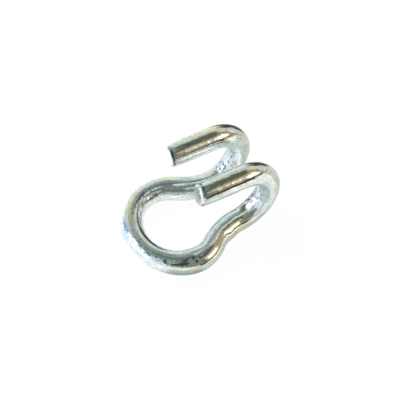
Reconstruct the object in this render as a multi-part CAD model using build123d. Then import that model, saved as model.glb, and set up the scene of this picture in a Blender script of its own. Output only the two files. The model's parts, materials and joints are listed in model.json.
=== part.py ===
from build123d import *
import math
import os

# U-hook: one length of round steel wire, cut square at both ends and bent cold into a flat,
# pear-shaped eye and two open hooks side by side. The eye lies flat, the two legs leave it
# through a narrow waist, and each leg turns up and back over itself into a prong.
#
# The eye is centred on the origin with its wire along the XY plane, the hooks lie towards +X,
# and the prongs stand above the legs and point back towards -X. The whole is symmetric about
# the XZ plane. Lengths are in millimetres and angles in degrees. Every bend radius is the
# radius of the tool that the wire is bent around, so it is measured at the inside of the bend.

# Wire
WIRE_DIAMETER = 6.0
CUT_EDGE_RADIUS = 0.4      # rounding that the shear leaves round each cut end

# Eye
EYE_BACK_RADIUS = 10.1     # rounded back of the eye, the part that a chain link pulls on
EYE_BACK_SWEEP = 102.0     # angle of the back, from one shoulder to the other
SHOULDER_RADIUS = 5.8      # tighter bends that close the eye towards the waist

# Waist and legs
WAIST_RADIUS = 11.0        # reverse bends that turn the wire back to run straight
HOOK_GAP = 8.2             # clear gap between the legs, and between the two hooks
LEG_LENGTH = 0.5           # straight wire between the waist and the hook

# Hooks
HOOK_RADIUS = 5.8          # inside of each hook
HOOK_SWEEP = 174.7         # angle that each hook turns through
PRONG_LENGTH = 12.4        # straight wire from the hook to the cut end

# Sizes along the wire's centreline, worked out from the driving dimensions
wire_radius = WIRE_DIAMETER / 2
back_radius = EYE_BACK_RADIUS + wire_radius
shoulder_radius = SHOULDER_RADIUS + wire_radius
waist_radius = WAIST_RADIUS + wire_radius
hook_radius = HOOK_RADIUS + wire_radius
leg_offset = (HOOK_GAP + WIRE_DIAMETER) / 2


def eye_turn():
    """Angle from the back of the eye to the end of a shoulder.

    It is the angle at which the waist bend, which leaves the shoulder there and ends parallel
    to X, brings the wire to leg_offset from the plane of symmetry.
    """
    back_reach = (back_radius - shoulder_radius) * math.sin(math.radians(EYE_BACK_SWEEP / 2))
    sine = (waist_radius + leg_offset - back_reach) / (shoulder_radius + waist_radius)
    return 180 - math.degrees(math.asin(sine))


def eye_and_waist():
    """Half of the flat eye, from the middle of its back, then the waist bend, in the XY plane."""
    turn = eye_turn()
    back = JernArc((-back_radius, 0), (0, -1), back_radius, EYE_BACK_SWEEP / 2)
    shoulder = JernArc(back @ 1, back % 1, shoulder_radius, turn - EYE_BACK_SWEEP / 2)
    waist = JernArc(shoulder @ 1, shoulder % 1, waist_radius, 90 - turn)
    return [back, shoulder, waist]


def leg_and_hook(start):
    """Leg, hook bend and prong, which stand in the XZ plane that holds the leg's start."""
    upright = Plane(origin=start, x_dir=(1, 0, 0), z_dir=(0, -1, 0))
    leg = Line((0, 0), (LEG_LENGTH, 0))
    hook = JernArc(leg @ 1, leg % 1, hook_radius, HOOK_SWEEP)
    prong = Line(hook @ 1, hook @ 1 + hook % 1 * PRONG_LENGTH)
    return [upright * leg, upright * hook, upright * prong]


def centreline():
    """Centreline of the whole wire, from one cut end round the eye to the other."""
    half = eye_and_waist()
    half += leg_and_hook(half[-1] @ 1)
    other_half = [edge.mirror(Plane.XZ) for edge in half]
    return Wire(half + other_half)


def wire_hook():
    """Round wire along the centreline, with the edges of its two cut ends rounded."""
    path = centreline()
    section = Plane(origin=path @ 0, z_dir=path % 0) * Circle(wire_radius)
    wire = sweep(section, path=path)
    cut_edges = wire.faces().filter_by(GeomType.PLANE).edges()
    return fillet(cut_edges, CUT_EDGE_RADIUS)


os.makedirs("parts", exist_ok=True)
export_step(wire_hook(), "parts/wire_hook.step")
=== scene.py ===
import json
import math

import bpy
import numpy as np
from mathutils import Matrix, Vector


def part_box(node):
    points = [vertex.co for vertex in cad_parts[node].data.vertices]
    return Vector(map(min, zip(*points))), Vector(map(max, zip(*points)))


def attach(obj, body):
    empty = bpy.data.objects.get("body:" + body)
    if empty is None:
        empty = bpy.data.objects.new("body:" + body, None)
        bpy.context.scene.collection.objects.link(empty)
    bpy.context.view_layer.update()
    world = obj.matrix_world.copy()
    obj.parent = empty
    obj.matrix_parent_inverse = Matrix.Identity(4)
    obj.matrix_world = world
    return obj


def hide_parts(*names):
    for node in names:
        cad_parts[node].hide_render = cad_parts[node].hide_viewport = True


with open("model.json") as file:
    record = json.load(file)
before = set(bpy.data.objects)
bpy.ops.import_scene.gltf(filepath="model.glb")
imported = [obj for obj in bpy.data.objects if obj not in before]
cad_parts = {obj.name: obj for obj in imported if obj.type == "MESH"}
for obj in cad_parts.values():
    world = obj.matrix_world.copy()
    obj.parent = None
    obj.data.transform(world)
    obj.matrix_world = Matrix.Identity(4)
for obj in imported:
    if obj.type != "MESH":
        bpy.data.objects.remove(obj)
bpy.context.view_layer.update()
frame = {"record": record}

# Wire hook
# The whole part: one length of round steel wire, drawn, cut square, bent cold into a flat eye and
# two open hooks, then barrel plated with bright zinc. The plating mirrors what stands around it.

low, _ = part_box("wire_hook")
mounts = {mount["name"]: mount for mount in frame["record"]["mounts"]}
hook_centre = Vector(mounts["hook_throat"]["pos_m"])   # middle of the hook bends
prong = mounts["prong_left"]

WIRE_RADIUS = -low.z                   # the eye lies with its wire's middle in the XY plane
BACK_RADIUS = -low.x - WIRE_RADIUS     # every bend is given to the middle of the wire
BACK_TURN = math.radians(51)           # half of the eye's rounded back
SHOULDER_RADIUS = 0.0088
WAIST_RADIUS = 0.014
LEG_OFFSET = abs(prong["pos_m"][1])
LEG_LENGTH = 0.0005
HOOK_RADIUS = hook_centre.z
HOOK_TURN = math.pi - math.atan2(prong["axis"][2], -prong["axis"][0])
PRONG_LENGTH = 0.0124

# the shear leaves the rim of each cut end rounded, and the near end's outer side more so, about an
# angle round the wire and over a spread in degrees. It also draws the wire in, over the tip's length
CUT_ROUNDING = 0.0004
NEAR_ROUNDING = 0.0006
NEAR_ROUNDED_ABOUT = 200
NEAR_ROUNDED_SPREAD = 80
TIP_DRAWN_IN = 0.00028
TIP_LENGTH = 0.0014

# it cuts a little aslant too: for each end, how much longer the wire is than a square cut leaves it,
# how much more on its longest side, and the angle round the wire of that side. The metal behind the
# cut is stretched to suit, over the slant's length
NEAR_CUT = (0.0005, 0.00065, 157)
FAR_CUT = (0.0003, 0.00065, 326)
SLANT_LENGTH = 0.005

# where the bending tools pressed, the wire isn't quite round. Along the wire from the middle of
# the eye's back, more than 0 on the near half, and round it from the inner side towards the upper
# one: millimetres, spread, degrees, spread, and how far the surface stands proud in millimetres
SWELLINGS = [
    (15.5, 5.0, 10, 60, 0.50),       # fuller inside the near shoulder
    (17.5, 4.5, 185, 60, 0.25),      # and outside it
    (28.5, 4.0, 0, 60, -0.25),       # nipped inside the near waist
    (29.0, 2.5, 185, 60, 0.34),      # and pushed out opposite
    (38.5, 4.0, 45, 50, 0.20),       # fuller inside the near hook bend
    (-25.0, 4.0, 130, 60, 0.40),     # fuller outside the far waist
    (-18.0, 4.0, 0, 60, 0.20),       # and inside the far shoulder
    (-35.5, 3.0, 110, 50, -0.35),    # nipped inside the far hook bend
    (-46.0, 4.0, 250, 60, 0.20),     # and fuller round the back of it
]
CREASES = [
    (37.0, 2.6, 85, 45, -0.30),      # edge of the tool, inside each hook
    (-37.5, 2.2, 85, 45, -0.22),
    (15.2, 0.8, 112, 20, -0.14),     # nicks on the near shoulder and outside the near waist
    (26.9, 1.0, 165, 35, -0.24),
]
WAVE_HEIGHT = 0.003                  # faint waves all over, in millimetres

# where the tools and other hooks in the barrel scuffed the plating: millimetres along the wire,
# spread, degrees round it, spread, and strength
SCUFFS = [
    (-3.5, 2.5, 135, 12, 1.0),       # outside the back of the eye
    (1.0, 3.0, 113, 9, 0.8),
    (6.0, 4.0, 124, 9, 0.9),
    (11.5, 4.0, 129, 11, 1.3),
    (15.5, 2.5, 115, 16, 1.2),
    (-16.5, 4.0, 50, 30, 1.0),       # inside the far shoulder
    (41.0, 2.5, 60, 35, 1.2),        # inside the hook bends
    (-39.5, 2.5, 90, 25, 2.2),
    (66.0, 6.0, 228, 14, 0.25),      # on top of the prongs
    (-66.0, 6.0, 225, 16, 0.4),
]

# where the wire was scored or rubbed dark, and where dark reflections are painted as scores, in
# the same terms
SCORES_AND_DARK_REFLECTIONS = [
    (-1.0, 7.0, 60, 6, 1.5),         # painted dark reflection inside the back of the eye
    (13.6, 1.3, 127, 8, 1.0),        # where the near shoulder was gripped
    (11.6, 1.6, 133, 4, 0.8),
    (37.0, 1.2, 70, 12, 0.9),        # painted dark reflection inside the near hook bend
    (35.7, 1.4, 85, 22, 0.5),
    (-40.9, 0.6, 88, 6, 1.2),        # scores inside the far hook bend
    (-38.3, 0.5, 85, 5, 0.9),
]

# where the passivation over the zinc is thicker it looks straw or olive, and where it is thinner
# blue: millimetres along the wire, spread, degrees round it, spread, and straw above 0
PASSIVATION = [
    (-3.5, 3.5, 138, 22, -1.2),      # back of the eye
    (4.0, 4.0, 145, 22, -1.0),
    (-8.0, 6.0, 95, 35, 0.9),
    (12.0, 4.0, 150, 30, 0.5),       # shoulders
    (-16.0, 5.0, 55, 25, -1.4),
    (-17.0, 7.0, 5, 30, 1.0),
    (-20.0, 6.0, 130, 40, 0.8),
    (22.0, 6.0, 190, 45, 1.2),
    (27.0, 6.0, 50, 50, -0.7),       # waists
    (-28.0, 4.0, 60, 60, -0.9),
    (31.0, 4.0, 180, 50, 0.8),
    (34.0, 4.0, 215, 35, 0.8),
    (-42.0, 8.0, 110, 90, -0.9),     # hook bends
    (45.0, 6.0, 150, 45, -1.1),
    (54.5, 4.5, 165, 40, -1.1),
    (-58.0, 5.0, 200, 25, 1.0),
    (-60.0, 6.0, 270, 30, 0.8),
    (66.0, 8.0, 240, 25, 1.0),       # prongs
    (-66.0, 8.0, 240, 25, 1.1),
    (68.0, 8.0, 190, 40, -0.7),
    (-68.0, 8.0, 190, 40, -0.8),
]

RINGS = 440          # evenly spaced on each half of the wire
TIP_RINGS = 25       # closer together at each cut
CAP_RINGS = 10       # across each cut face
SIDES = 96


def half_line(step=0.00002):
    """Middle line of half the wire, from the middle of the eye's back to a cut end.

    The line's direction is the running sum of the bends that it has passed, each bend turning it
    by length over radius, and its place is the running sum of its direction. The eye's bends turn
    it in the XY plane; the hook's bend turns it upwards. Returns each point's distance along the
    line, its place, its direction and the direction of the wire's upper side.
    """
    reach = (BACK_RADIUS - SHOULDER_RADIUS) * math.sin(BACK_TURN)
    sine = (WAIST_RADIUS + LEG_OFFSET - reach) / (SHOULDER_RADIUS + WAIST_RADIUS)
    eye_turn = math.pi - math.asin(sine)
    bends = [
        (BACK_RADIUS * BACK_TURN, 1 / BACK_RADIUS, 0),
        (SHOULDER_RADIUS * (eye_turn - BACK_TURN), 1 / SHOULDER_RADIUS, 0),
        (WAIST_RADIUS * (eye_turn - math.pi / 2), -1 / WAIST_RADIUS, 0),
        (LEG_LENGTH, 0, 0),
        (HOOK_RADIUS * HOOK_TURN, 0, 1 / HOOK_RADIUS),
        (PRONG_LENGTH, 0, 0),
    ]
    ends = np.cumsum([0] + [length for length, _, _ in bends])
    s = np.append(np.arange(0, ends[-1], step), ends[-1])
    heading = np.interp(s, ends, np.cumsum([0] + [length * flat for length, flat, _ in bends]))
    pitch = np.interp(s, ends, np.cumsum([0] + [length * up for length, _, up in bends]))
    east, north = np.cos(heading - math.pi / 2), np.sin(heading - math.pi / 2)
    level, rise = np.cos(pitch), np.sin(pitch)
    ahead = np.stack([east * level, north * level, rise], 1)
    upper = np.stack([-east * rise, -north * rise, level], 1)
    place = np.zeros_like(ahead)
    place[1:] = np.cumsum((ahead[1:] + ahead[:-1]) / 2 * np.diff(s)[:, None], 0)
    place[:, 0] -= BACK_RADIUS
    return s, place, ahead, upper


WIRE_END = half_line()[0][-1]          # from the middle of the eye's back to a cut end


def whole_line():
    """The half line and its mirror image as one line of rings, from the far end to the near one.

    The rings are evenly spaced, and come closer together as a sine does at each cut end.
    """
    s, place, ahead, upper = half_line()
    even = np.linspace(0, WIRE_END - TIP_LENGTH, RINGS, endpoint=False)
    closing = WIRE_END - TIP_LENGTH + TIP_LENGTH * np.sin(np.linspace(0, math.pi / 2, TIP_RINGS))
    half = np.concatenate([even, closing])
    along = np.concatenate([-half[:0:-1], half])
    side = np.where(along < 0, -1, 1)

    def sampled(values):
        return np.stack([np.interp(np.abs(along), s, values[:, k]) for k in range(3)], 1)

    place, ahead, upper = sampled(place), sampled(ahead), sampled(upper)
    place[:, 1] *= side
    upper[:, 1] *= side
    ahead[:, (0, 2)] *= side[:, None]
    return along, place, ahead, upper


def marked(along, around, marks, power=2):
    """Sum of the marks on the wire, each its height times exp of minus the distance over spread.

    The distance is squared round the wire, and raised to the power along it: 2 gives a bell
    curve, and 1 a crease with a sharp bottom.
    """
    total = np.zeros((len(along), len(around)))
    for middle, spread, turn, turn_spread, height in marks:
        beyond = (along[:, None] * 1000 - middle) / spread
        aside = ((np.degrees(around) - turn + 180) % 360 - 180) / turn_spread
        total += height * np.exp(-np.abs(beyond) ** power - aside ** 2)
    return total


def worked(along, around):
    """How far each point stands proud of the round wire, from drawing, bending and plating.

    It is the swellings and the creases, and over both lie faint waves, which are sums of cosines
    with random phases.
    """
    s, v = along[:, None] * 1000, around[None, :]
    proud = marked(along, around, SWELLINGS) + marked(along, around, CREASES, 1)
    chance = np.random.default_rng(7)
    for lobes in (1, 2, 2, 3, 3, 4, 5, 6):
        length = chance.uniform(2.0, 6.0)
        phase = chance.uniform(0, 2 * math.pi, 2)
        along_wave = np.cos(2 * math.pi * s / length + phase[0])
        proud += WAVE_HEIGHT * along_wave * np.cos(lobes * v + phase[1])
    return proud / 1000


def section_radius(along, around):
    """The wire's radius at each point of the grid.

    Towards a cut it falls off as exp does, and within the rounding it shrinks along a quarter
    circle. The rounding is larger on the near end's outer side, by a bell curve.
    """
    radius = WIRE_RADIUS + worked(along, around)
    to_end = (WIRE_END - np.abs(along))[:, None]
    outer_side = np.exp(-((np.degrees(around) - NEAR_ROUNDED_ABOUT) / NEAR_ROUNDED_SPREAD) ** 2)
    rounding = CUT_ROUNDING + NEAR_ROUNDING * outer_side * (along[:, None] > 0)
    dip = np.clip(1 - to_end / rounding, 0, 1)
    radius -= rounding * (1 - np.sqrt(1 - dip ** 2))
    return radius - TIP_DRAWN_IN * np.exp(-to_end / TIP_LENGTH)


def capped(grid, first_middle, last_middle):
    """The grid's points in order, with rings that shrink to the middle of each cut, then both middles."""
    shares = np.linspace(1, 0, CAP_RINGS + 2)[1:-1, None, None]
    first_cap = first_middle + shares[::-1] * (grid[0] - first_middle)
    last_cap = last_middle + shares * (grid[-1] - last_middle)
    rows = np.concatenate([first_cap, grid, last_cap])
    return np.concatenate([rows.reshape(-1, 3), [first_middle, last_middle]])


def closed_faces(rows):
    """Quads between the rows of a tube, and a fan of triangles at each end, all facing outwards."""
    index = np.arange(rows * SIDES).reshape(rows, SIDES)
    following = np.roll(index, -1, 1)
    quads = np.stack([index[:-1], following[:-1], following[1:], index[1:]], 2).reshape(-1, 4)
    first_pole, last_pole = np.full(SIDES, rows * SIDES), np.full(SIDES, rows * SIDES + 1)
    first_fan = np.stack([first_pole, following[0], index[0]], 1)
    last_fan = np.stack([last_pole, index[-1], following[-1]], 1)
    return quads.tolist() + first_fan.tolist() + last_fan.tolist()


def wire_mesh(name):
    """Wire as a grid: one parameter runs along the middle line, the other round the section.

    A point lies off the middle line by cos(round) towards the inner side and sin(round) towards
    the upper side, times the section's radius. Near a slanting cut it moves along the wire as
    well, by the square of its share of the slant's length times the slant's height, which varies
    as cos(round) does. Attributes hold where each point was on the straight wire, and its marks.
    """
    along, place, ahead, upper = whole_line()
    inner = np.cross(upper, ahead)
    around = np.linspace(0, 2 * math.pi, SIDES, endpoint=False)
    radius = section_radius(along, around)
    inwards, upwards = radius * np.cos(around), radius * np.sin(around)
    points = place[:, None] + inwards[:, :, None] * inner[:, None] + upwards[:, :, None] * upper[:, None]

    centre = place.copy()
    stretch = np.clip(1 - (WIRE_END - np.abs(along))[:, None] / SLANT_LENGTH, 0, 1) ** 2
    for side, (longer, aslant, longest) in ((1, NEAR_CUT), (-1, FAR_CUT)):
        share = side * stretch * (side * along[:, None] > 0)
        lean = aslant * np.cos(around - math.radians(longest)) * radius / WIRE_RADIUS
        points += (share * (longer + lean))[:, :, None] * ahead[:, None]
        centre += share * longer * ahead
    points[:, :, 2] = np.maximum(points[:, :, 2], low.z)   # nothing dips below the floor

    mesh = bpy.data.meshes.new(name)
    mesh.from_pydata(capped(points, centre[0], centre[-1]), [], closed_faces(len(points) + 2 * CAP_RINGS))
    mesh.polygons.foreach_set("use_smooth", np.ones(len(mesh.polygons), bool))

    straight = np.stack(np.broadcast_arrays(along[:, None], inwards, upwards), 2)
    straight_points = capped(straight, np.array([-WIRE_END, 0, 0]), np.array([WIRE_END, 0, 0]))
    straight_wire = mesh.attributes.new("straight_wire", "FLOAT_VECTOR", "POINT")
    straight_wire.data.foreach_set("vector", straight_points.astype(np.float32).ravel())
    cap_points = CAP_RINGS * SIDES
    for kind, marks in (("scuffed", SCUFFS), ("scores_and_dark_reflections", SCORES_AND_DARK_REFLECTIONS), ("passivated", PASSIVATION)):
        strength = np.pad(marked(along, around, marks).ravel(), (cap_points, cap_points + 2))
        attribute = mesh.attributes.new(kind, "FLOAT", "POINT")
        attribute.data.foreach_set("value", strength.astype(np.float32))
    mesh.update()
    return mesh


def node(tree, kind, inputs=None, **settings):
    """Adds a node: settings are its own properties, inputs its sockets' values or links."""
    made = tree.nodes.new(kind)
    for key, value in settings.items():
        setattr(made, key, value)
    for key, value in (inputs or {}).items():
        if isinstance(value, bpy.types.NodeSocket):
            tree.links.new(value, made.inputs[key])
        else:
            made.inputs[key].default_value = value
    return made


def maths(tree, operation, *values):
    """Result of one Math node."""
    return node(tree, "ShaderNodeMath", dict(enumerate(values)), operation=operation).outputs[0]


def ramped(tree, value, start, end, low=0, high=1):
    """Value carried smoothly from low, where it is start, to high, where it is end."""
    return node(tree, "ShaderNodeMapRange", {
        "Value": value, "From Min": start, "From Max": end, "To Min": low, "To Max": high,
    }, interpolation_type="SMOOTHSTEP").outputs[0]


def mixed(tree, share, first, second):
    """First colour, giving way to the second as the share goes from 0 to 1."""
    colours = [(*c, 1) if isinstance(c, tuple) else c for c in (first, second)]
    return node(tree, "ShaderNodeMix", {
        0: share, 6: colours[0], 7: colours[1],
    }, data_type="RGBA").outputs[2]


def noise(tree, place, size, detail=2.0):
    """Cloudy pattern from 0 to 1, with clouds of about the given size in metres."""
    return node(tree, "ShaderNodeTexNoise", {
        "Vector": place, "Scale": 1 / size, "Detail": detail,
    }).outputs["Fac"]


def attribute_value(tree, name):
    """Value of one of the wire's own attributes."""
    return node(tree, "ShaderNodeAttribute", attribute_name=name).outputs["Fac"]


# size across and height, in metres, of what the plating, the die, the shear and the tools leave
RIPPLE_SIZE, RIPPLE_HEIGHT = 0.0011, 0.000014
MARK_SIZE, MARK_HEIGHT = 0.0005, 0.000014
GRAIN_SIZE, GRAIN_HEIGHT = 0.00035, 0.000013
TEAR_SIZE, TEAR_HEIGHT = 0.0009, 0.00008
SCUFF_SIZE, SCUFF_HEIGHT = 0.0008, 0.00006
PIT_SPACING, PIT_DEPTH = 0.0013, 0.00001
DRAWN_OUT = 10                         # how much longer than wide the die's marks are
DRIFT_SIZE, DRIFT_STRENGTH = 0.002, 3.4
SHEARED_LENGTH = 0.00012               # how far from its face the cut's rough grey reaches

CLEAN_TINT = (0.93, 0.98, 0.97)
STRAW_TINT = (0.97, 0.93, 0.58)
BLUE_TINT = (0.68, 0.84, 1.0)
BLUSH_TINT = (0.98, 0.86, 0.92)
FLECK_TINT = (0.66, 0.69, 0.62)
DRAWN_TINT = (0.56, 0.57, 0.52)
SCUFF_TINT = (0.10, 0.15, 0.25)
# dull dark of the scores, which also paints the dark reflections listed with them
SCORE_AND_REFLECTION_TINT = (0.20, 0.22, 0.18)
PIT_TINT = (0.16, 0.18, 0.22)
SHEARED_TINT = (0.88, 0.92, 0.89)
STAIN_TINT = (0.42, 0.52, 0.34)
# painted dark reflection behind each cut
RIM_REFLECTION_TINT = (0.15, 0.19, 0.24)

PLATED_ROUGHNESS = (0.02, 0.06)        # from its brightest patches to its dullest
PIT_ROUGHNESS = 0.4
SHEARED_ROUGHNESS = 0.24

# painted dark reflection, a line behind each cut: place along the wire, half its width, and the angle of its
# dark side
RIM_REFLECTIONS = [
    (WIRE_END - 0.00085, 0.00028, 275),
    (-WIRE_END + 0.00045, 0.00034, 320),
]


def rim_reflection(tree, straight, along, torn, middle, half_width, turn):
    """Share of a painted dark reflection, a line round the wire, broken up where the tearing is shallow.

    It fades on the side away from its angle, by how far the point lies towards that angle, as a reflection
    of something dark on that side would.
    """
    off = maths(tree, "ABSOLUTE", maths(tree, "SUBTRACT", along, middle))
    towards = (0, math.cos(math.radians(turn)), math.sin(math.radians(turn)))
    on_dark_side = node(tree, "ShaderNodeVectorMath", {
        0: straight, 1: towards,
    }, operation="DOT_PRODUCT").outputs["Value"]
    line = maths(tree, "MULTIPLY", ramped(tree, off, half_width, half_width / 2), torn)
    return maths(tree, "MULTIPLY", line, ramped(tree, on_dark_side, 0.0002, 0.0026))


def bright_zinc():
    """Bright zinc plating over drawn steel.

    Its height is a sum of patterns, in metres: ripples and grain that the plating leaves, marks
    drawn out along the wire by the die, small pits, the tearing of the cut faces and the chatter
    of the scuffs. The colour drifts between clean, straw and blue, as thin passivation does, about
    the value of the attribute passivated. Over it lie lavender patches, dull flecks and drawn
    lines, then dark specks where the wire is scuffed, scores together with painted dark
    reflections, pits, and a painted dark reflection as a line behind each cut.
    The cut faces, where the straight wire's first coordinate is at its largest, are rough and
    grey, and the near one is stained on its upper half.
    """
    material = bpy.data.materials.new("bright_zinc")
    material.use_nodes = True
    tree = material.node_tree
    shader = tree.nodes["Principled BSDF"]
    place = node(tree, "ShaderNodeTexCoord").outputs["Object"]
    elsewhere = node(tree, "ShaderNodeMapping", {
        "Vector": place, "Location": (0.05, 0.02, 0.01),
    }).outputs[0]
    straight = node(tree, "ShaderNodeAttribute", attribute_name="straight_wire").outputs["Vector"]
    along_die = node(tree, "ShaderNodeMapping", {
        "Vector": straight, "Scale": (1 / DRAWN_OUT, 1, 1),
    }).outputs[0]
    split = node(tree, "ShaderNodeSeparateXYZ", {0: straight})
    along, upwards = split.outputs["X"], split.outputs["Z"]

    sheared = ramped(
        tree, maths(tree, "ABSOLUTE", along), WIRE_END - SHEARED_LENGTH, WIRE_END - SHEARED_LENGTH / 6,
    )
    tearing = noise(tree, elsewhere, TEAR_SIZE, 3.0)
    torn = ramped(tree, tearing, 0.34, 0.52)
    scuffed = attribute_value(tree, "scuffed")
    pitting = node(tree, "ShaderNodeTexVoronoi", {"Vector": place, "Scale": 1 / PIT_SPACING})
    pits = ramped(tree, pitting.outputs["Distance"], 0.20, 0.08)

    height = 0
    for pattern, rise in (
        (noise(tree, place, RIPPLE_SIZE), RIPPLE_HEIGHT),
        (noise(tree, along_die, MARK_SIZE), MARK_HEIGHT),
        (noise(tree, place, GRAIN_SIZE), GRAIN_HEIGHT),
        (pits, -PIT_DEPTH),
        (maths(tree, "MULTIPLY", sheared, tearing), TEAR_HEIGHT),
        (maths(tree, "MULTIPLY", scuffed, noise(tree, elsewhere, SCUFF_SIZE, 3.0)), SCUFF_HEIGHT),
    ):
        height = maths(tree, "MULTIPLY_ADD", pattern, rise, height)
    surface = node(tree, "ShaderNodeBump", {"Height": height, "Distance": 1.0, "Strength": 1.0})
    tree.links.new(surface.outputs["Normal"], shader.inputs["Normal"])

    drift = maths(tree, "SUBTRACT", noise(tree, place, DRIFT_SIZE, 3.0), 0.5)
    drift = maths(tree, "MULTIPLY_ADD", drift, DRIFT_STRENGTH, attribute_value(tree, "passivated"))
    specks = ramped(tree, noise(tree, elsewhere, SCUFF_SIZE, 2.5), 0.52, 0.58)
    tint = CLEAN_TINT
    for share, colour in (
        (ramped(tree, drift, 0.0, 1.0), STRAW_TINT),
        (ramped(tree, drift, 0.0, -1.0), BLUE_TINT),
        (ramped(tree, noise(tree, elsewhere, 0.0010), 0.47, 0.63), BLUSH_TINT),
        (ramped(tree, noise(tree, place, 0.0005, 3.0), 0.46, 0.64, 0.0, 0.75), FLECK_TINT),
        (ramped(tree, noise(tree, along_die, 0.00035, 3.0), 0.50, 0.64, 0.0, 0.75), DRAWN_TINT),
        (maths(tree, "MULTIPLY", specks, scuffed), SCUFF_TINT),
        # scores, and dark reflections painted as scores
        (ramped(tree, attribute_value(tree, "scores_and_dark_reflections"), 0.1, 0.8), SCORE_AND_REFLECTION_TINT),
        (maths(tree, "MULTIPLY", pits, 0.7), PIT_TINT),
        # painted dark reflection behind each cut
        *((rim_reflection(tree, straight, along, torn, *line), RIM_REFLECTION_TINT) for line in RIM_REFLECTIONS),
    ):
        tint = mixed(tree, share, tint, colour)
    stained = maths(tree, "MULTIPLY", ramped(tree, upwards, 0.0010, -0.0008), torn)
    stained = maths(tree, "MULTIPLY", stained, ramped(tree, along, 0.0, 0.001))
    tint = mixed(tree, sheared, tint, mixed(tree, stained, SHEARED_TINT, STAIN_TINT))
    tree.links.new(tint, shader.inputs["Base Color"])

    dullness = ramped(tree, noise(tree, place, 0.0018), 0.3, 0.7, *PLATED_ROUGHNESS)
    for share, roughness in ((pits, PIT_ROUGHNESS), (sheared, SHEARED_ROUGHNESS)):
        dullness = maths(tree, "MAXIMUM", dullness, maths(tree, "MULTIPLY", share, roughness))
    tree.links.new(dullness, shader.inputs["Roughness"])
    shader.inputs["Metallic"].default_value = 1
    return material


hook = bpy.data.objects.new("zinc_plated_wire_hook", wire_mesh("zinc_plated_wire_hook"))
bpy.context.scene.collection.objects.link(hook)
hook.data.materials.append(bright_zinc())
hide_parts("wire_hook")
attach(hook, "root")

# Floor
# A wide sheet of white card that the hook lies on. It glows white to the camera and, more softly,
# in the plating. For the plating its glow is painted with light and shade: brighter where the
# windows would light it and in the throat between the hooks, in painted shade on one side, and
# with painted dark reflections of the edges of what stands on the table beyond it.

FLOOR_RADIUS = 4.0
PAPER_COLOUR = (0.92, 0.91, 0.88, 1)
GLOW_STRENGTH = 1.01
SEEN_SHARE = 0.955                     # how much of it glows: to the camera,
MIRRORED_SHARE = 0.75                  # in the plating,
DARK_MIRRORED_SHARE = 0.20             # and more there where it shows what is dark

# colours of the card's glow in the plating, which paint light and shade on it
CARD_NEAR = (0.57, 0.65, 0.61)
CARD_FAR = (0.61, 0.65, 0.56)
CARD_BY_WINDOW = (1.10, 1.16, 1.26)
CARD_SHADED = (0.33, 0.45, 0.42)
CARD_BY_SMALL_WINDOW = (1.12, 1.12, 0.98)
CARD_LIT_IN_THROAT = (1.20, 1.28, 1.34)
DARK_WOOD = (0.05, 0.045, 0.03)
DARK_CASE = (0.04, 0.045, 0.042)
PLAIN_WHITE = (1.0, 1.0, 1.0)

WINDOW_AZIMUTH = 155
THROAT = (0.0155, -0.004, low.z)       # painted light on the card, where light falls through between the hooks

# distances in metres at which each colour begins and is full: from the origin, towards the window
# for its own light, and from the throat
FAR_REACH = (0.022, 0.055)
WINDOW_REACH = (-0.020, 0.012)
SHADE_REACH = (0.037, 0.025)
THROAT_REACH = (0.008, 0.004)

# sectors of painted shade, painted window light and painted dark reflections on the card: azimuth
# from +X towards +Y, width and width of the soft edges in degrees, and how far out it starts
SHADED_SECTOR = (-118, 44, 20, 0.013)
SMALL_WINDOW_SECTOR = (-48, 44, 12, 0.026)
PAINTED_WOOD_REFLECTION_SECTOR = (-67, 28, 8, 0.150)
PAINTED_CASE_REFLECTION_SECTOR = (37, 40, 8, 0.055)


def turned_to(tree, vector, azimuth):
    """Vector turned about Z so that its X runs towards the azimuth, as separate outputs."""
    turned = node(tree, "ShaderNodeVectorRotate", {
        "Vector": vector, "Angle": -math.radians(azimuth),
    }, rotation_type="Z_AXIS")
    return node(tree, "ShaderNodeSeparateXYZ", {0: turned.outputs[0]}).outputs


def off_azimuth(tree, vector, azimuth):
    """Angle between the vector, seen from above, and the azimuth."""
    turned = turned_to(tree, vector, azimuth)
    return maths(tree, "ABSOLUTE", maths(tree, "ARCTAN2", turned["Y"], turned["X"]))


def within(tree, off, width, edge):
    """Share that is 1 where an angle is less than half the width, with a soft edge, in degrees."""
    return ramped(tree, off, math.radians((width + edge) / 2), math.radians((width - edge) / 2))


def sector(tree, place, away, azimuth, width, edge, start):
    """Share that is 1 about an azimuth, and beyond a distance from the origin."""
    return maths(
        tree, "MULTIPLY",
        within(tree, off_azimuth(tree, place, azimuth), width, edge),
        ramped(tree, away, start * 0.9, start * 1.1),
    )


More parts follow.
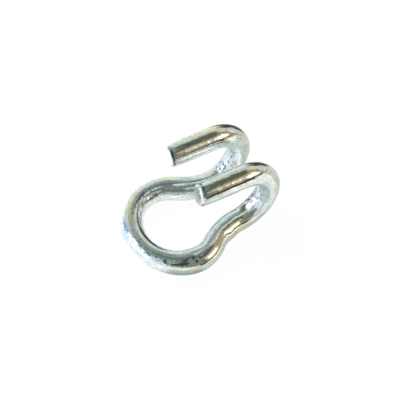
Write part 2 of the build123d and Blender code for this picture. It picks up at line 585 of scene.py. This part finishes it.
def white_card():
    """Paper lit as paper is, which also glows for the rays that are seen, with painted light and shade."""
    card = bpy.data.materials.new("white_card")
    card.use_nodes = True
    tree = card.node_tree
    paper = tree.nodes["Principled BSDF"]
    paper.inputs["Base Color"].default_value = PAPER_COLOUR
    paper.inputs["Roughness"].default_value = 1
    place = node(tree, "ShaderNodeTexCoord").outputs["Object"]
    away = node(tree, "ShaderNodeVectorMath", {0: place}, operation="LENGTH").outputs["Value"]
    from_throat = node(tree, "ShaderNodeVectorMath", {
        0: place, 1: THROAT,
    }, operation="DISTANCE").outputs["Value"]
    to_window = turned_to(tree, place, WINDOW_AZIMUTH)["X"]
    shaded = sector(tree, place, away, *SHADED_SECTOR)
    shaded = maths(tree, "MULTIPLY", shaded, ramped(tree, away, *SHADE_REACH))
    # painted dark reflections of the table's edge and of the case beyond it
    wood = sector(tree, place, away, *PAINTED_WOOD_REFLECTION_SECTOR)
    case = sector(tree, place, away, *PAINTED_CASE_REFLECTION_SECTOR)
    path = node(tree, "ShaderNodeLightPath")
    camera_ray = path.outputs["Is Camera Ray"]

    # painted light and shade, and painted dark reflections, in the card's glow; plain white to the camera
    tint = CARD_NEAR
    for share, colour in (
        (ramped(tree, away, *FAR_REACH), CARD_FAR),
        (ramped(tree, to_window, *WINDOW_REACH), CARD_BY_WINDOW),
        (shaded, CARD_SHADED),
        (sector(tree, place, away, *SMALL_WINDOW_SECTOR), CARD_BY_SMALL_WINDOW),
        (ramped(tree, from_throat, *THROAT_REACH), CARD_LIT_IN_THROAT),
        (wood, DARK_WOOD),
        (case, DARK_CASE),
        (camera_ray, PLAIN_WHITE),
    ):
        tint = mixed(tree, share, tint, colour)

    mirrored = maths(tree, "MAXIMUM", path.outputs["Is Glossy Ray"], path.outputs["Is Transmission Ray"])
    dark = maths(tree, "MAXIMUM", wood, case)
    mirrored_share = maths(tree, "MULTIPLY_ADD", dark, DARK_MIRRORED_SHARE, MIRRORED_SHARE)
    share = maths(tree, "MULTIPLY", camera_ray, SEEN_SHARE)
    share = maths(tree, "MULTIPLY_ADD", mirrored, mirrored_share, share)
    white = node(tree, "ShaderNodeEmission", {"Color": tint, "Strength": GLOW_STRENGTH})
    surface = node(tree, "ShaderNodeMixShader", {0: share, 1: paper.outputs[0], 2: white.outputs[0]})
    tree.links.new(surface.outputs[0], tree.nodes["Material Output"].inputs["Surface"])
    return card


bpy.ops.mesh.primitive_circle_add(
    vertices=128, radius=FLOOR_RADIUS, fill_type="NGON", location=(0, 0, low.z),
)
floor = bpy.context.object
floor.name = "white_card_floor"
floor.data.materials.append(white_card())

# Studio
# A pale room: a wide window to the left, a small warm window to the front right, darker walls
# between them and an unlit ceiling. The metal's bands are its reflections of them.

# elevation in degrees and colour, from the ground up
PLAIN_WALL = [
    (0, (0.86, 0.93, 0.91)),
    (35, (0.70, 0.80, 0.74)),
    (52, (0.35, 0.43, 0.39)),
    (62, (0.26, 0.33, 0.295)),
    (74, (0.21, 0.27, 0.25)),
    (80, (0.165, 0.215, 0.20)),
    (90, (0.13, 0.175, 0.17)),
]

# what hangs before the wall, each over those above it: azimuths from +X towards +Y, elevations,
# the widths of the soft edges at the sides and at the top and foot, all in degrees, and colour
PANELS = {
    "shaded side, where the camera stands": (-146, -94, 14, 74, 6, 10, (0.225, 0.275, 0.245)),
    "rail on the shaded side": (-142, -104, 36, 43, 10, 5, (0.13, 0.17, 0.155)),
    "high on the left": (-180, -146, 62, 80, 8, 8, (0.27, 0.35, 0.33)),
    "olive curtain": (-102, -80, 12, 60, 6, 14, (0.27, 0.28, 0.185)),
    "side of the dark wall": (-84, -60, 16, 62, 5, 6, (0.25, 0.25, 0.20)),
    "foot of the dark wall": (-84, -61, -10, 15, 5, 4, (0.13, 0.125, 0.08)),
    "warm wall": (-61, 10, 0, 57, 5, 6, (0.33, 0.31, 0.195)),
    "reveal of the small window": (-62, -22, 8, 46, 6, 8, (0.62, 0.54, 0.40)),
    "small window": (-57, -28, 15, 36, 3, 3, (1.8, 1.70, 1.40)),
    "sill": (-38, -12, -5, 16, 8, 6, (0.46, 0.41, 0.31)),
    "gold frame": (-23, -11, -5, 46, 4, 6, (0.44, 0.40, 0.26)),
    "peach door": (-11, 5, 3, 24, 4, 5, (0.94, 0.86, 0.74)),
    "pale shelf": (0, 50, 23, 48, 6, 8, (0.62, 0.69, 0.65)),
    "dark beam": (-62, 44, 54, 66, 6, 4, (0.12, 0.135, 0.105)),
    "grey case": (23, 52, -6, 23, 5, 5, (0.24, 0.28, 0.26)),
    "pale door": (5, 25, 0, 26, 4, 4, (0.60, 0.66, 0.66)),
    "dark case": (31, 45, -14, 16, 4, 5, (0.045, 0.055, 0.048)),
    "foot of the case": (12, 58, -14, -3, 8, 4, DARK_CASE),
    "table edge": (-77, -53, -8, 6, 6, 4, DARK_WOOD),
    "foot of the small window": (-62, -28, 5, 11, 6, 3, (0.12, 0.11, 0.075)),
    "blue curtain": (115, 133, -5, 45, 4, 6, (0.46, 0.58, 0.74)),
    "wide window": (131, 190, -30, 46, 3, 3, (1.40, 1.48, 1.58)),
    "side light": (184, 214, -30, 24, 8, 8, (0.95, 1.03, 1.08)),
    "dark glass": (180, 214, 26, 56, 6, 8, (0.44, 0.56, 0.61)),
    "dim pane": (174, 192, 26, 54, 6, 8, (0.66, 0.78, 0.88)),
}
LAMP_SIZE = 0.3
LAMP_ENERGY = 1.7
LAMP_PLACE = (-0.10, 0.26, 0.34)


def studio():
    """World whose colour depends on direction: the plain wall with soft-edged panels over it."""
    world = bpy.data.worlds.new("pale_studio")
    world.use_nodes = True
    tree = world.node_tree
    direction = node(tree, "ShaderNodeTexCoord").outputs["Generated"]
    level = node(tree, "ShaderNodeSeparateXYZ", {0: direction}).outputs["Z"]
    elevation = maths(tree, "ARCSINE", level)
    ramp = node(tree, "ShaderNodeValToRGB", {"Fac": maths(tree, "DIVIDE", elevation, math.pi / 2)})
    while len(ramp.color_ramp.elements) < len(PLAIN_WALL):
        ramp.color_ramp.elements.new(1)
    for stop, (degrees, tint) in zip(ramp.color_ramp.elements, PLAIN_WALL):
        stop.position = degrees / 90
        stop.color = (*tint, 1)
    colour = ramp.outputs["Color"]
    for left, right, foot, top, side_edge, level_edge, tint in PANELS.values():
        sideways = off_azimuth(tree, direction, (left + right) / 2)
        upright = maths(tree, "ABSOLUTE", maths(tree, "SUBTRACT", elevation, math.radians((foot + top) / 2)))
        panel = maths(
            tree, "MULTIPLY",
            within(tree, sideways, right - left, side_edge),
            within(tree, upright, top - foot, level_edge),
        )
        colour = mixed(tree, panel, colour, tint)
    camera_ray = node(tree, "ShaderNodeLightPath").outputs["Is Camera Ray"]
    colour = mixed(tree, camera_ray, colour, PLAIN_WHITE)
    tree.links.new(colour, tree.nodes["Background"].inputs["Color"])
    return world


lamp = bpy.data.objects.new("soft_lamp", bpy.data.lights.new("soft_lamp", "AREA"))
bpy.context.scene.collection.objects.link(lamp)
lamp.data.shape = "SQUARE"
lamp.data.size = LAMP_SIZE
lamp.data.energy = LAMP_ENERGY
lamp.location = LAMP_PLACE
lamp.rotation_euler = lamp.location.to_track_quat("Z", "Y").to_euler()
lamp.visible_glossy = False        # the plating already shows the windows
lamp.visible_camera = False

bpy.context.scene.world = studio()
bpy.context.scene.world.cycles.sampling_method = "NONE"   # soft all round: needs no map of its lights
bpy.context.scene.view_settings.view_transform = "Standard"

# Camera
# It looks down on the hook from the eye's side, with a long lens.

CAMERA_AZIMUTH = math.radians(-31.61)
CAMERA_ELEVATION = math.radians(53.71)
CAMERA_DISTANCE = 0.3726
CAMERA_TARGET = Vector((0.005281, 0.000374, 0.0048))
CAMERA_LENS = 131.6

camera = bpy.data.objects.new("camera", bpy.data.cameras.new("camera"))
bpy.context.scene.collection.objects.link(camera)
camera.data.lens = CAMERA_LENS
camera.data.clip_start = 0.01
camera.data.clip_end = 20
back = Vector((
    math.sin(CAMERA_AZIMUTH) * math.cos(CAMERA_ELEVATION),
    -math.cos(CAMERA_AZIMUTH) * math.cos(CAMERA_ELEVATION),
    math.sin(CAMERA_ELEVATION),
))
camera.location = CAMERA_TARGET + back * CAMERA_DISTANCE
camera.rotation_euler = back.to_track_quat("Z", "Y").to_euler()
bpy.context.scene.camera = camera
